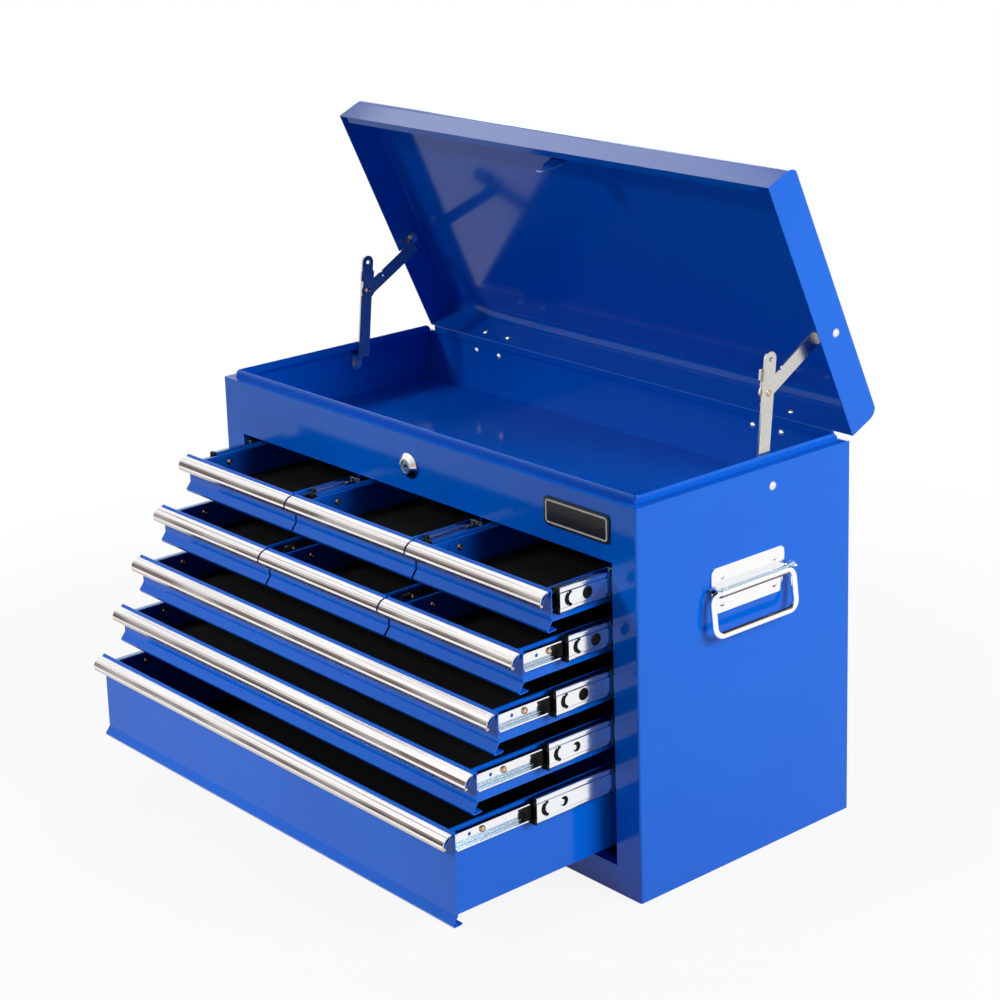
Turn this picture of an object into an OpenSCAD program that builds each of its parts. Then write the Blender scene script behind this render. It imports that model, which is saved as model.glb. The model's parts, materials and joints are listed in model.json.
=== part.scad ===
// Portable tool chest: a sheet steel cabinet with nine drawers on ball-bearing slides,
// an open top tray and a hinged lid held up by two folding stays.
// Origin at the centre of the underside, +X to the right, +Y to the back, +Z up, millimetres.

/* [Cabinet] */
// Width over the side panels
cabinet_w = 600; // [560:1:700]
// Depth from the front face to the back face
cabinet_d = 268; // [258:1:320]
// Height to the ledge that the lid closes on
cabinet_h = 360; // [350:1:440]
// Thickness of the sheet steel
sheet_t = 1; // [0.8:0.1:1.2]
// Width of each front stile
stile_w = 30; // [28:1:40]
// Depth of the fold behind each stile and rail
return_d = 12; // [8:1:16]
// Height of the front rail above the drawers
top_rail_h = 54.5; // [50:0.5:70]
// Height of the front rail below the drawers
base_rail_h = 26; // [15:1:32]
// Outside radius of the folded vertical edges
fold_r = 2; // [1.6:0.1:2.5]

/* [Rim] */
// Distance from the outside to the raised rim, at the front and the sides
rim_inset = 9; // [8.5:0.1:11]
// Height of the rim above the ledge
rim_h = 7; // [5:0.1:7.2]
// Thickness of the hemmed rim
rim_t = 3; // [2.2:0.1:4]
// Width of the notch between the rim's sides and its back
rim_notch = 5; // [3:0.5:12]

/* [Lid] */
// Height of the lid above the ledge
lid_h = 38; // [34:1:50]
// Running gap under the closed lid
lid_gap = 0.3; // [0.2:0.1:0.5]
// Outside radius of the lid's long top edges
lid_edge_r = 12; // [6:0.5:14]
// Outside radius of the lid's short top edges
lid_end_r = 3; // [1.5:0.5:5]
// Depth of the flange folded in along the lid's front edge
lid_flange_d = 6; // [4:0.5:7]
// How far the flange stops short of the lid's ends
lid_flange_gap = 12; // [6:1:30]
// Angle of the open lid
lid_open = 65.5; // [60:0.5:68]

/* [Hinges] */
// Outside radius of the knuckles
knuckle_r = 4.5; // [4:0.1:5.5]
// Radius of the hinge pin
hinge_pin_r = 2; // [1.5:0.1:2.4]
// Thickness of the leaves
leaf_t = 1.5; // [1:0.1:2]
// Length of each hinge along the back
hinge_w = 60; // [56:1:90]
// Distance of each hinge from the middle
hinge_x = 200; // [150:1:210]
// Height of each leaf from the pin
leaf_h = 25; // [22:1:28]
// Depth of the pin below the ledge
hinge_drop = 2; // [1.5:0.1:3]
// Distance of each leaf's rivets from the hinge's middle
leaf_rivet_x = 18; // [12:1:22]
// Height of each leaf's rivets from the ledge
leaf_rivet_z = 10.5; // [10:0.5:14]
// Radius of the hinge and handle rivets
rivet_r = 2; // [1.5:0.1:2.3]

/* [Drawers] */
// Sheet thickness of the drawers
drawer_t = 0.9; // [0.7:0.1:1.2]
// Height of the small drawers' fronts
front_h = 38; // [34:0.5:39]
// Gap from the front rail to the top row
top_gap = 5.5; // [4.5:0.5:8]
// Gap between rows
row_gap = 7; // [6:0.5:9]
// Gap under the bottom row
bottom_gap = 8.5; // [5:0.5:12]
// Gap beside the drawer fronts
side_gap = 1.5; // [1:0.1:2.5]
// Gap between the fronts of one row
column_gap = 2.5; // [1.5:0.1:4]
// How far the drawers' sides are lower than their fronts
side_drop = 5; // [3:0.5:6]
// Room between the drawers' backs and the back panel
rear_room = 24; // [16:1:40]
// Width of the hem along the drawers' sides
hem_w = 2.6; // [2:0.1:4]
// Depth of the hem along the drawers' sides
hem_h = 4; // [3:0.5:8]
// Distance that each row stands open, from the top
row_open = [68, 101, 130, 155, 180];
// Distance that each drawer's middle rails stand out
rails_out = [45, 53.5, 60.5, 44, 48, 52, 67.5, 77, 92.5];

/* [Pulls] */
// Sheet thickness of the aluminium pulls
pull_t = 1.2; // [0.8:0.1:1.5]
// Reach of the pull's flange in front of the drawer
pull_reach = 10.4; // [9:0.1:12]
// Bare strip of the flange above the pull
pull_from = 3.5; // [2:0.1:4.5]
// Bulge of the pull
pull_bulge = 2.2; // [1.5:0.1:3.5]
// Reach of the bead along the front's lower edge
bead_reach = 4.2; // [3:0.1:5.5]

/* [Slides] */
// Height of the fixed outer rails
slide_h = 27; // [26:0.5:30]
// Width of a slide, from the drawer to its upright
slide_w = 12.8; // [12.4:0.1:14]
// Height of the middle rails
mid_rail_h = 23.6; // [23:0.1:24.4]
// Height of the rails on the drawers
runner_h = 16; // [14:0.1:16.4]
// Depth of the slides' middle line below the drawer's top
slide_drop = 14.5; // [14:0.5:16]
// Steel thickness of the rails
rail_t = 1.2; // [1:0.1:1.4]
// Length of the outer rails
rail_l = 230; // [225:1:235]
// Setback of the outer rails behind the front face
rail_setback = 3; // [2:0.5:6]

/* [Stays] */
// Length of the lower bar between its pivots
stay_lower_l = 80.5; // [78:0.5:84]
// Length of the upper bar between its pivots
stay_upper_l = 85; // [82:0.5:88]
// Width of the bars
stay_w = 14; // [11:0.5:15]
// Thickness of the bars
stay_t = 2; // [1.5:0.1:2.2]
// Length of the lower bar's handle above the rivet
stay_handle_l = 37; // [28:1:40]
// Distance of the lower pivot in front of the hinge pin
stay_foot_y = 105.5; // [101:0.5:108]
// Depth of the lower pivot below the ledge
stay_foot_drop = 19; // [18:0.5:22]
// Distance of the upper pivot in front of the hinge pin, lid closed
stay_top_y = 105.7; // [102:0.1:108]
// Height of the upper pivot above the ledge, lid closed
stay_top_rise = 20.5; // [18:0.5:22]
// Radius of the bolts that the bars turn on
stay_bolt_r = 2.5; // [2:0.1:3]

/* [Handles] */
// Width of the handle plate
plate_w = 92; // [80:1:100]
// Height of the handle plate
plate_h = 42; // [40:1:50]
// Thickness of the handle plate
plate_t = 1.5; // [1.2:0.1:2]
// Height of the handle's pivot
handle_z = 263; // [240:1:270]
// Radius of the bail's wire
bail_r = 3; // [2.5:0.1:3.5]
// Width of the bail, to the middle of its wire
bail_w = 102; // [98:1:106]
// Drop of the bail, to the middle of its wire
bail_drop = 37.5; // [35:0.5:44]
// Stand-off of the bail's pivot from the side panel
bail_off = 7; // [6:0.1:7.4]
// Angle at which the bail stands off the side panel
bail_lean = 6.5; // [0:0.5:12]

/* [Lock] */
// Height of the lock below the ledge
lock_drop = 28; // [27:0.5:30]
// Radius of the lock's threaded barrel
barrel_r = 9.4; // [8.5:0.1:10]
// Radius of the turning plug
plug_r = 6.5; // [5.5:0.1:7]
// Radius at which the cam's peg turns
peg_turn_r = 24; // [22:0.5:25]

/* [Nameplate] */
// Width of the blank nameplate
badge_w = 82; // [60:1:100]
// Height of the blank nameplate
badge_h = 26; // [20:0.5:30]
// Distance of the nameplate from the stile
badge_gap = 1; // [1:0.5:20]
// Thickness of the nameplate
badge_t = 1.5; // [0.8:0.1:2]

/* [Hidden] */
$fn = 48;
paint = "royalblue";
zinc = "lightsteelblue";
bright = "silver";
// Running gap between parts that pass, and radial play of a pin in its bore
fit_gap = 0.3;
pin_fit = 0.05;
// Amount by which cuts pass a face
over = 1;

half_w = cabinet_w / 2;
half_d = cabinet_d / 2;
inner_x = half_w - sheet_t;
inner_y = half_d - sheet_t;
opening_x = half_w - stile_w;
opening_top = cabinet_h - top_rail_h;
tray_z = opening_top + sheet_t;
lid_z = cabinet_h + lid_gap;
hinge_y = half_d + knuckle_r;
hinge_z = cabinet_h - hinge_drop;

// Rim: outer and inner faces, and the height of its rounded top
rim_out_x = half_w - rim_inset;
rim_in_x = rim_out_x - rim_t;
rim_out_y = half_d - rim_inset;
rim_in_y = rim_out_y - rim_t;
rear_out_y = inner_y - fit_gap;
rear_in_y = rear_out_y - rim_t;
rim_top = cabinet_h + rim_h;

// Drawers: row and column of each, with column -1 for a full width drawer
drawer_row = [0, 0, 0, 1, 1, 1, 2, 3, 4];
drawer_column = [0, 1, 2, 0, 1, 2, -1, -1, -1];
column_w = 2 * opening_x / 3;
divider_t = sheet_t;
front_x = opening_x - side_gap;
box_x = opening_x - rail_t - slide_w;
box_rear = half_d - rear_room;
// Height of the box's underside over the front's lower edge
box_lift = 2.4;
// Bend at the front's upper edge, and its flange: height minus Y along it
bend_r = 1.2;
bend_a = 135;
flange_rise = bend_r * sqrt(2) - drawer_t;
pull_gap = 0.1;
// Curl at the pull's lower edge, from the flange's tip
curl = [[2.4, -1.4], [0.6, -1.7]];

// Slides: closed positions along the cabinet
rail_front = -half_d + rail_setback;
rail_rear = rail_front + rail_l;
mid_setback = 1;
mid_hole_y = 31;
lever_y = 12;
runner_setback = 4;
screw_r = 1.5;
screw_ends = [32, 40];
screw_places = [screw_ends[0], rail_l - screw_ends[1]];
runner_hole_y = 18;
runner_end = 2;
// Rail sections: reach of the lips from the drawer's side, and the play between rails
outer_lip = 5.5;
mid_lip = 3.5;
runner_lip = 7;
rail_play = 0.6;
groove_d = 0.8;
mid_band = 6.5;
cage_w = 2.6;
upright_x = opening_x - rail_t;
upright_d = 24;
upright_y = [-half_d + 18, rail_rear - upright_d - 1];
upright_t = 1.2;

// Stays: every pivot in the Y-Z plane
bar_x = rim_in_x - 1 - stay_t;
foot_x = inner_x - fit_gap - stay_t;
stay_foot = [hinge_y - stay_foot_y, cabinet_h - stay_foot_drop];
stay_top_closed = [hinge_y - stay_top_y, cabinet_h + stay_top_rise];
stay_top = opened(stay_top_closed);
stay_elbow = elbow(stay_foot, stay_top, stay_lower_l, stay_upper_l);
stay_end_r = stay_w / 2;
jog_from = 9.5;
stay_bore_r = stay_bolt_r + 0.08;
// Bolts' slotted heads and nuts
head_h = 2.2;
head_r = 4.2;
nut_r = 4.4;
nut_t = 3;
slot_w = 1;
// Half of the elbow rivet on each bar
elbow_r = 3.4;
elbow_out_h = 0.7;
elbow_in_h = 1.4;
// Catch of the upper bar beside the elbow
catch_l = 22;
lug_l = 12;
lug_d = 2.5;

// Handles: sheet of the trough, and places of the plate's rivets from its middle
trough_r = bail_r + pin_fit;
trough_t = plate_t;
bail_bend_r = 9;
trough_w = bail_w - 2 * bail_bend_r;
ear_l = 7.5;
ear_flare = min(2.4, bail_off - trough_r - trough_t);
plate_rivet = [plate_w / 2 - 13, plate_h / 2 - 8.5];
bail_stub = 20;

lock_z = cabinet_h - lock_drop;

// Lid's latch: the plane of its hook, and its outline from the lock's axis
latch_t = 1.2;
latch_y = -rim_in_y + 0.8;
latch_top = rim_top + 1;
latch_x = [14, 35];
hook_x = [15.5, 22.5];
hook_z = lock_z + 10.5;
slot_gap = 0.4;

// Lock: places along its axis, from the front face, and the cam's peg
bezel_h = 6;
bezel_r = 12;
bezel_rim = 2;
lock_nut_r = 13;
lock_nut_t = 4;
barrel_end = 11.5;
keyway_d = 4;
cam_t = 1.6;
cam_w = 8;
cam_at = half_d + latch_y + latch_t + fit_gap;
plug_end = cam_at + cam_t + 3;
peg_r = 1.5;
peg_open = 135;
peg_locked = 45;

// Drawers' and rails' names, then everything else

// A point of the closed lid, in the Y-Z plane, moved to the open lid
function opened(p) =
    let (y = p[0] - hinge_y, z = p[1] - hinge_z, c = cos(lid_open), s = sin(lid_open))
    [hinge_y + y * c + z * s, hinge_z - y * s + z * c];
// Where two bars from a and b meet, on the side towards the front
function elbow(a, b, la, lb) =
    let (d = b - a, l = norm(d), along = (la * la - lb * lb + l * l) / (2 * l),
         aside = sqrt(la * la - along * along))
    a + d * along / l + [-d[1], d[0]] * aside / l;
// Angle of the way from a to b, measured from upright towards the back
function lean(a, b) = atan2(b[0] - a[0], b[1] - a[1]);
// Points of an arc
function arc(c, r, from, to, n = 6) =
    [for (i = [0 : n]) let (a = from + (to - from) * i / n) c + r * [cos(a), sin(a)]];
// Unit vector to the left of the way from a to b
function side_of(a, b) = let (d = b - a) [-d[1], d[0]] / norm(d);
// Point i of a path, moved to the left by w with a mitred corner
function moved(path, i, w) =
    let (n = len(path) - 1,
         before = side_of(path[max(i - 1, 0)], path[max(i, 1)]),
         after = side_of(path[min(i, n - 1)], path[min(i + 1, n)]),
         mid = (before + after) / norm(before + after))
    path[i] + mid * w / (mid * before);

// Sizes of drawer i, counted from 0
function row_of(i) = drawer_row[i];
function rim_z(i) = opening_top - top_gap - row_of(i) * (front_h + row_gap);
function height_of(i) = row_of(i) < 4 ? front_h : rim_z(i) - base_rail_h - bottom_gap;
function column_edge(c) = -opening_x + c * column_w;
function front_from(i) =
    drawer_column[i] < 1 ? -front_x : column_edge(drawer_column[i]) + column_gap / 2;
function front_to(i) =
    drawer_column[i] < 0 || drawer_column[i] == 2 ? front_x
    : column_edge(drawer_column[i] + 1) - column_gap / 2;
function box_from(i) =
    drawer_column[i] < 1 ? -box_x : column_edge(drawer_column[i]) + divider_t / 2 + slide_w;
function box_to(i) =
    drawer_column[i] < 0 || drawer_column[i] == 2 ? box_x
    : column_edge(drawer_column[i] + 1) - divider_t / 2 - slide_w;
function drawer_out(i) = row_open[row_of(i)];
function mid_out(i) = rails_out[i];
function slide_z(i) = rim_z(i) - slide_drop;
function floor_z(i) = rim_z(i) - height_of(i) + box_lift;

// Extrusions along each axis: the drawing's axes are Y-Z, X-Z and X-Y
module along_x(from, to) translate([from, 0, 0]) rotate([90, 0, 90]) linear_extrude(to - from) children();
module along_y(from, to) translate([0, to, 0]) rotate([90, 0, 0]) linear_extrude(to - from) children();
module along_z(from, to) translate([0, 0, from]) linear_extrude(to - from) children();
module block(x, y, z) translate([x[0], y[0], z[0]]) cube([x[1] - x[0], y[1] - y[0], z[1] - z[0]]);
module both_sides() {
    children();
    mirror([1, 0, 0]) children();
}
// Bent sheet: a path, with the sheet's thickness to its left
module strip(path, t)
    polygon(concat(path, [for (i = [len(path) - 1 : -1 : 0]) moved(path, i, t)]));
// Rectangle with round corners, from its lower left corner
module round_rect(w, h, r) {
    translate([r, 0]) square([w - 2 * r, h]);
    translate([0, r]) square([w, h - 2 * r]);
    for (x = [r, w - r]) for (y = [r, h - r]) translate([x, y]) circle(r);
}
// Rectangle with its two upper corners round
module arch(w, h, r) {
    square([w, h - r]);
    translate([r, 0]) square([w - 2 * r, h]);
    for (x = [r, w - r]) translate([x, h - r]) circle(r);
}
module open_lid()
    translate([0, hinge_y, hinge_z]) rotate([-lid_open, 0, 0]) translate([0, -hinge_y, -hinge_z]) children();
// Upright bar in the Y-Z plane, its lower pivot at p, leaning by an angle
module bar_at(p, angle) translate([0, p[0], p[1]]) rotate([-angle, 0, 0]) children();
module disc_x(from, to, r) translate([from, 0, 0]) rotate([0, 90, 0]) cylinder(h = to - from, r = r);
module disc_y(from, to, r) translate([0, from, 0]) rotate([-90, 0, 0]) cylinder(h = to - from, r = r);
// Domed rivet head that grows from a face, along +Z
module dome(r, h) intersection() {
    cylinder(h = h, r = r);
    translate([0, 0, h - (r * r + h * h) / (2 * h)]) sphere(r = (r * r + h * h) / (2 * h));
}

// ---- Cabinet ----

// Hemmed rim in section, its outer face at 0 and its foot on the ledge's underside
module rim_section() {
    r = rim_t / 2;
    square([rim_t, rim_h + sheet_t - r]);
    translate([r, rim_h + sheet_t - r]) circle(r);
}
module side_panel() color(paint) difference() {
    rim_l = rim_out_y + rear_in_y - rim_notch + rim_t;
    corner = [half_w - fold_r, fold_r - half_d];
    union() {
        along_z(0, cabinet_h) strip(concat(
            [[opening_x, -half_d]],
            arc(corner, fold_r, -90, 0),
            [[half_w, half_d]]), sheet_t);
        block([opening_x, opening_x + sheet_t], [-half_d, return_d - half_d],
              [base_rail_h, opening_top]);
        // Ledge, welded to the middle of the wall's sheet
        along_z(cabinet_h - sheet_t, cabinet_h) polygon(concat(
            [[rim_in_x, inner_y], [rim_in_x, sheet_t / 2 - half_d]],
            arc(corner, fold_r - sheet_t / 2, -90, 0),
            [[half_w - sheet_t / 2, inner_y]]));
        // Rim with round ends
        intersection() {
            translate([rim_in_x, 0, cabinet_h - sheet_t])
                along_y(-rim_out_y, rim_l - rim_out_y) rim_section();
            along_x(rim_in_x, rim_out_x) translate([-rim_out_y, cabinet_h - 2 * rim_h])
                arch(rim_l, 3 * rim_h, rim_h - sheet_t);
        }
    }
    translate([0, stay_foot[0], stay_foot[1]])
        disc_x(inner_x - over, half_w + over, stay_bolt_r + pin_fit);
    plate_rivets() disc_x(inner_x - over, half_w + over, rivet_r + pin_fit);
}
module back_panel() color(paint) difference() {
    union() {
        block([-inner_x, inner_x], [inner_y, half_d], [0, cabinet_h]);
        block([-rim_in_x, rim_in_x], [rear_in_y, inner_y], [cabinet_h - sheet_t, cabinet_h]);
        translate([0, 0, cabinet_h - sheet_t]) along_x(-rim_in_x + rim_notch, rim_in_x - rim_notch)
            translate([rear_in_y, 0]) rim_section();
    }
    leaf_rivets() translate([0, 0, -leaf_rivet_z])
        disc_y(inner_y - over, half_d + over, rivet_r + pin_fit);
}
module base_panel() color(paint) {
    block([-inner_x, inner_x], [-inner_y, inner_y], [0, sheet_t]);
    block([-opening_x, opening_x], [-half_d, -inner_y], [0, base_rail_h]);
    block([-opening_x, opening_x], [-inner_y, return_d - half_d],
          [base_rail_h - sheet_t, base_rail_h]);
}
module top_rail() color(paint) difference() {
    union() {
        block([-opening_x, opening_x], [-half_d, -inner_y], [opening_top, cabinet_h]);
        block([-rim_in_x, rim_in_x], [-inner_y, -rim_in_y], [cabinet_h - sheet_t, cabinet_h]);
        translate([0, 0, cabinet_h - sheet_t]) along_x(-rim_in_x, rim_in_x)
            translate([-rim_out_y, 0]) rim_section();
    }
    translate([0, 0, lock_z]) disc_y(-half_d - over, over - inner_y, barrel_r + pin_fit);
}
// Pan between the cabinet's walls, its back corners clipped
module tray_floor() color(paint) difference() {
    clip = 6;
    block([-inner_x, inner_x], [-inner_y, inner_y], [opening_top, tray_z]);
    both_sides() block([inner_x - clip, half_w], [inner_y - clip, half_d],
                       [opening_top - over, tray_z + over]);
}
// Channels that carry the outer rails, and the two dividers between the small drawers
module slide_uprights() color(paint) {
    both_sides() for (y = upright_y) {
        block([upright_x, upright_x + upright_t], [y, y + upright_d], [sheet_t, opening_top]);
        for (leg = [y, y + upright_d - upright_t])
            block([upright_x, inner_x], [leg, leg + upright_t], [sheet_t, opening_top]);
    }
    foot = rim_z(6) + 3;
    front = 8 - half_d;
    flange = 12;
    for (c = [1, 2]) translate([column_edge(c), 0, 0]) {
        block([-divider_t / 2, divider_t / 2], [front, inner_y], [foot, opening_top]);
        block([-divider_t / 2, flange], [inner_y - divider_t, inner_y], [foot, opening_top]);
        block([-divider_t / 2, flange], [front, inner_y], [opening_top - divider_t, opening_top]);
    }
}

// Rails in section: the drawer's side is at 0 and the upright at slide_w
module outer_rail_section() {
    h = slide_h / 2;
    strip([[outer_lip, h], [slide_w, h], [slide_w, -h], [outer_lip, -h]], -rail_t);
}
module mid_rail_section() {
    h = mid_rail_h / 2;
    web = slide_w - rail_t - rail_play;
    r = 2.2;
    corner = web - groove_d - r;
    step = mid_band + groove_d;
    cage_h = (mid_rail_h - runner_h - rail_t) / 2 - fit_gap;
    strip(concat(
        [[mid_lip, h]], arc([corner, h - r], r, 90, 0, 4),
        [[web - groove_d, step], [web, mid_band], [web, -mid_band], [web - groove_d, -step]],
        arc([corner, r - h], r, 0, -90, 4), [[mid_lip, -h]]), -rail_t);
    // The ball cages run under the lips
    for (side = [0, 1]) mirror([0, side]) translate([mid_lip, runner_h / 2 + fit_gap])
        square([cage_w, cage_h]);
}
module runner_section() {
    h = runner_h / 2;
    r = 1.8;
    strip(concat([[runner_lip, h]], arc([r, h - r], r, 90, 180, 4), arc([r, r - h], r, 180, 270, 4),
                 [[runner_lip, -h]]), rail_t);
}
// A slide part of drawer i, on both of its sides
module at_sides(i) {
    translate([box_to(i), 0, slide_z(i)]) children();
    translate([box_from(i), 0, slide_z(i)]) mirror([1, 0, 0]) children();
}
module cabinet_rails() color(zinc)
    for (i = [0 : 8]) at_sides(i) along_y(rail_front, rail_rear) outer_rail_section();
module mid_rails(i) color(zinc) translate([0, -mid_out(i), 0]) at_sides(i) {
    front = rail_front + mid_setback;
    hole_r = 4.5;
    difference() {
        along_y(front, rail_rear - mid_setback) mid_rail_section();
        // Screw access hole, and the crescent slot of the release lever
        translate([0, front + mid_hole_y, 0]) disc_x(slide_w / 2, slide_w, hole_r);
        translate([0, front + lever_y, 0]) difference() {
            disc_x(slide_w / 2, slide_w, hole_r + 1);
            translate([0, 3, 0]) disc_x(slide_w / 2 - over, slide_w + over, hole_r + 0.7);
        }
    }
}
module runners(i) color(zinc) translate([0, rail_front + runner_setback - drawer_out(i), 0]) at_sides(i) {
    difference() {
        along_y(0, rail_l - runner_setback - runner_end) runner_section();
        translate([0, runner_hole_y, 0]) disc_x(-over, rail_t + over, screw_r + 0.2);
        for (y = screw_places) translate([0, y, 0]) disc_x(-over, rail_t + over, screw_r + pin_fit);
    }
    // Screws through the drawer's side
    for (y = screw_places) translate([0, y, 0]) {
        disc_x(-drawer_t, rail_t, screw_r);
        translate([rail_t, 0, 0]) rotate([0, 90, 0]) dome(2 * screw_r, 1.6);
        translate([-drawer_t, 0, 0]) rotate([0, -90, 0]) dome(2 * screw_r, 1.3);
    }
}

// ---- Drawers ----

// Front sheet in section: 0 is its face and its upper edge, and the path follows its back
module front_section(h) {
    t = drawer_t;
    strip(concat(
        [[5, box_lift - h - 0.4], [3.6, t - h + 0.2], [1 - bead_reach, t - h],
         [-bead_reach, t - h + 1.6], [t, t - h + bead_reach + 4]],
        arc([t - bend_r, -bend_r], bend_r, 0, bend_a),
        [[-pull_reach, flange_rise - pull_reach]]), t);
}
// Pull in section: it bulges over the front's flange and curls under the flange's tip
module pull_section() {
    rise = flange_rise + pull_gap * sqrt(2);
    tip = [-pull_reach - pull_t - pull_gap, rise - pull_reach - pull_t - pull_gap];
    top = [-pull_from, rise - pull_from];
    chord = norm(top - tip);
    r = (chord * chord / 4 + pull_bulge * pull_bulge) / (2 * pull_bulge);
    half = asin(chord / 2 / r);
    centre = (tip + top) / 2 + side_of(tip, top) * (pull_bulge - r);
    strip(concat([tip + curl[0], tip + curl[1]], arc(centre, r, bend_a + half, bend_a - half, 8)),
          pull_t);
}
module drawer(i) color(paint) translate([0, -drawer_out(i), 0]) difference() {
    face = -half_d;
    side_top = rim_z(i) - side_drop;
    union() {
        translate([0, face, rim_z(i)]) along_x(front_from(i), front_to(i)) front_section(height_of(i));
        // Box behind the front
        difference() {
            block([box_from(i), box_to(i)], [face + drawer_t / 2, box_rear], [floor_z(i), side_top]);
            block([box_from(i) + drawer_t, box_to(i) - drawer_t],
                  [face + 2 * drawer_t, box_rear - drawer_t],
                  [floor_z(i) + drawer_t, side_top + over]);
        }
        for (x = [box_from(i), box_to(i) - hem_w])
            block([x, x + hem_w], [face + drawer_t, box_rear], [side_top - hem_h, side_top]);
    }
    for (x = [box_from(i), box_to(i)]) for (y = screw_places)
        translate([x, rail_front + runner_setback + y, slide_z(i)])
            disc_x(-drawer_t - over, drawer_t + over, screw_r + pin_fit);
}
module pull(i) color(bright) translate([0, -drawer_out(i) - half_d, rim_z(i)])
    along_x(front_from(i), front_to(i)) pull_section();

// ---- Lid ----

// Lid's outside moved inwards by inset, from a height up
module lid_form(inset, from) {
    w = 2 * (half_w - inset);
    d = 2 * (half_d - inset);
    h = cabinet_h + lid_h - inset - from;
    intersection() {
        along_x(-w / 2, w / 2) translate([-d / 2, from]) arch(d, h, lid_edge_r - inset);
        along_y(-d / 2, d / 2) translate([-w / 2, from]) arch(w, h, lid_end_r - inset);
    }
}
module lid_shell() color(paint) open_lid() difference() {
    union() {
        difference() {
            lid_form(0, lid_z);
            lid_form(sheet_t, lid_z - over);
        }
        block([lid_flange_gap - half_w, half_w - lid_flange_gap], [-inner_y, lid_flange_d - inner_y],
              [lid_z, lid_z + sheet_t]);
    }
    both_sides() translate([0, stay_top_closed[0], stay_top_closed[1]])
        disc_x(inner_x - over, half_w + over, stay_bolt_r + pin_fit);
    leaf_rivets() translate([0, 0, leaf_rivet_z])
        disc_y(inner_y - over, half_d + over, rivet_r + pin_fit);
}
// Track of the peg in the latch's hook
module latch_slot() {
    play = peg_r + slot_gap;
    rotate(peg_locked) translate([peg_turn_r, 0]) circle(play);
    intersection() {
        difference() {
            circle(peg_turn_r + play);
            circle(peg_turn_r - play);
        }
        rotate(peg_locked) square(2 * peg_turn_r);
    }
}
// Latch over the rim: the lock's peg turns into its hook
module lid_latch() color(paint) open_lid() {
    foot_h = 12;
    difference() {
        along_y(latch_y, latch_y + latch_t) polygon([
            [latch_x[0], latch_top], [latch_x[0], cabinet_h], [hook_x[0], hook_z],
            [hook_x[1], hook_z], [latch_x[1], cabinet_h], [latch_x[1], latch_top]]);
        translate([0, 0, lock_z]) along_y(latch_y - over, latch_y + latch_t + over) latch_slot();
    }
    block(latch_x, [-inner_y, latch_y + latch_t], [latch_top, latch_top + latch_t]);
    block(latch_x, [-inner_y, latch_t - inner_y], [latch_top, latch_top + foot_h]);
}

// ---- Hinges ----

module leaf_rivets() for (side = [-1, 1]) for (x = [-1, 1])
    translate([side * hinge_x + x * leaf_rivet_x, 0, cabinet_h]) children();
// Knuckle n of five, or its outline grown by clear
module knuckle(n, clear = 0) {
    step = hinge_w / 5;
    end_gap = fit_gap / 2 - clear;
    translate([-hinge_w / 2, hinge_y, 0])
        disc_x(n * step + end_gap, (n + 1) * step - end_gap, knuckle_r + clear);
}
// One leaf on the pin's height: up is 1 for the lid's leaf and -1 for the cabinet's
module leaf(up, own, other) difference() {
    union() {
        difference() {
            along_y(half_d, half_d + leaf_t) translate([-hinge_w / 2, min(0, up * leaf_h)])
                square([hinge_w, leaf_h]);
            for (n = other) knuckle(n, fit_gap);
        }
        for (n = own) knuckle(n);
    }
    translate([0, hinge_y, 0]) disc_x(-hinge_w, hinge_w, hinge_pin_r + pin_fit);
    for (x = [-1, 1]) translate([x * leaf_rivet_x, 0, hinge_drop + up * leaf_rivet_z])
        disc_y(half_d - over, half_d + leaf_t + over, rivet_r + pin_fit);
}
module cabinet_hinge_leaves() color(zinc) for (side = [-1, 1]) translate([side * hinge_x, 0, hinge_z]) {
    leaf(-1, [0, 2, 4], [1, 3]);
    translate([0, hinge_y, 0]) for (end = [0, 1]) mirror([end, 0, 0]) {
        disc_x(0, hinge_w / 2 + fit_gap, hinge_pin_r);
        translate([hinge_w / 2 + fit_gap, 0, 0]) rotate([0, 90, 0]) dome(hinge_pin_r + 1, 1.4);
    }
}
module lid_hinge_leaves() color(zinc) open_lid() difference() {
    for (side = [-1, 1]) translate([side * hinge_x, 0, hinge_z]) leaf(1, [1, 3], [0, 2, 4]);
    // Relief where the leaf passes the cabinet's back edge
    block([-half_w, half_w], [half_d - over, half_d + fit_gap], [hinge_z - knuckle_r, lid_z + fit_gap]);
}

// ---- Fasteners ----

// Rivet along Y through a leaf and the sheet, with a head on each side
module leaf_rivet() {
    disc_y(inner_y, half_d + leaf_t, rivet_r);
    translate([0, half_d + leaf_t, 0]) rotate([-90, 0, 0]) dome(1.8 * rivet_r, 1.5);
    translate([0, inner_y, 0]) rotate([90, 0, 0]) dome(1.7 * rivet_r, 1.5);
}
// Bolt along X that a stay turns on: slotted head outside, nut inside the bar's foot
module stay_bolt() {
    nut_x = foot_x - fit_gap;
    disc_x(nut_x, half_w, stay_bolt_r);
    difference() {
        translate([half_w, 0, 0]) rotate([0, 90, 0]) dome(head_r, head_h);
        for (a = [0, 90]) rotate([a, 0, 0])
            block([half_w + head_h / 2, half_w + head_h + over], [-head_r / 2, head_r / 2],
                  [-slot_w / 2, slot_w / 2]);
    }
    translate([nut_x - nut_t, 0, 0]) rotate([0, 90, 0]) cylinder(h = nut_t, r = nut_r, $fn = 6);
}
module cabinet_fasteners() color(bright) {
    leaf_rivets() translate([0, 0, -leaf_rivet_z]) leaf_rivet();
    both_sides() translate([0, stay_foot[0], stay_foot[1]]) stay_bolt();
}
module lid_fasteners() color(bright) open_lid() {
    leaf_rivets() translate([0, 0, leaf_rivet_z]) leaf_rivet();
    both_sides() translate([0, stay_top_closed[0], stay_top_closed[1]]) stay_bolt();
}

// ---- Stays ----

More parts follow.
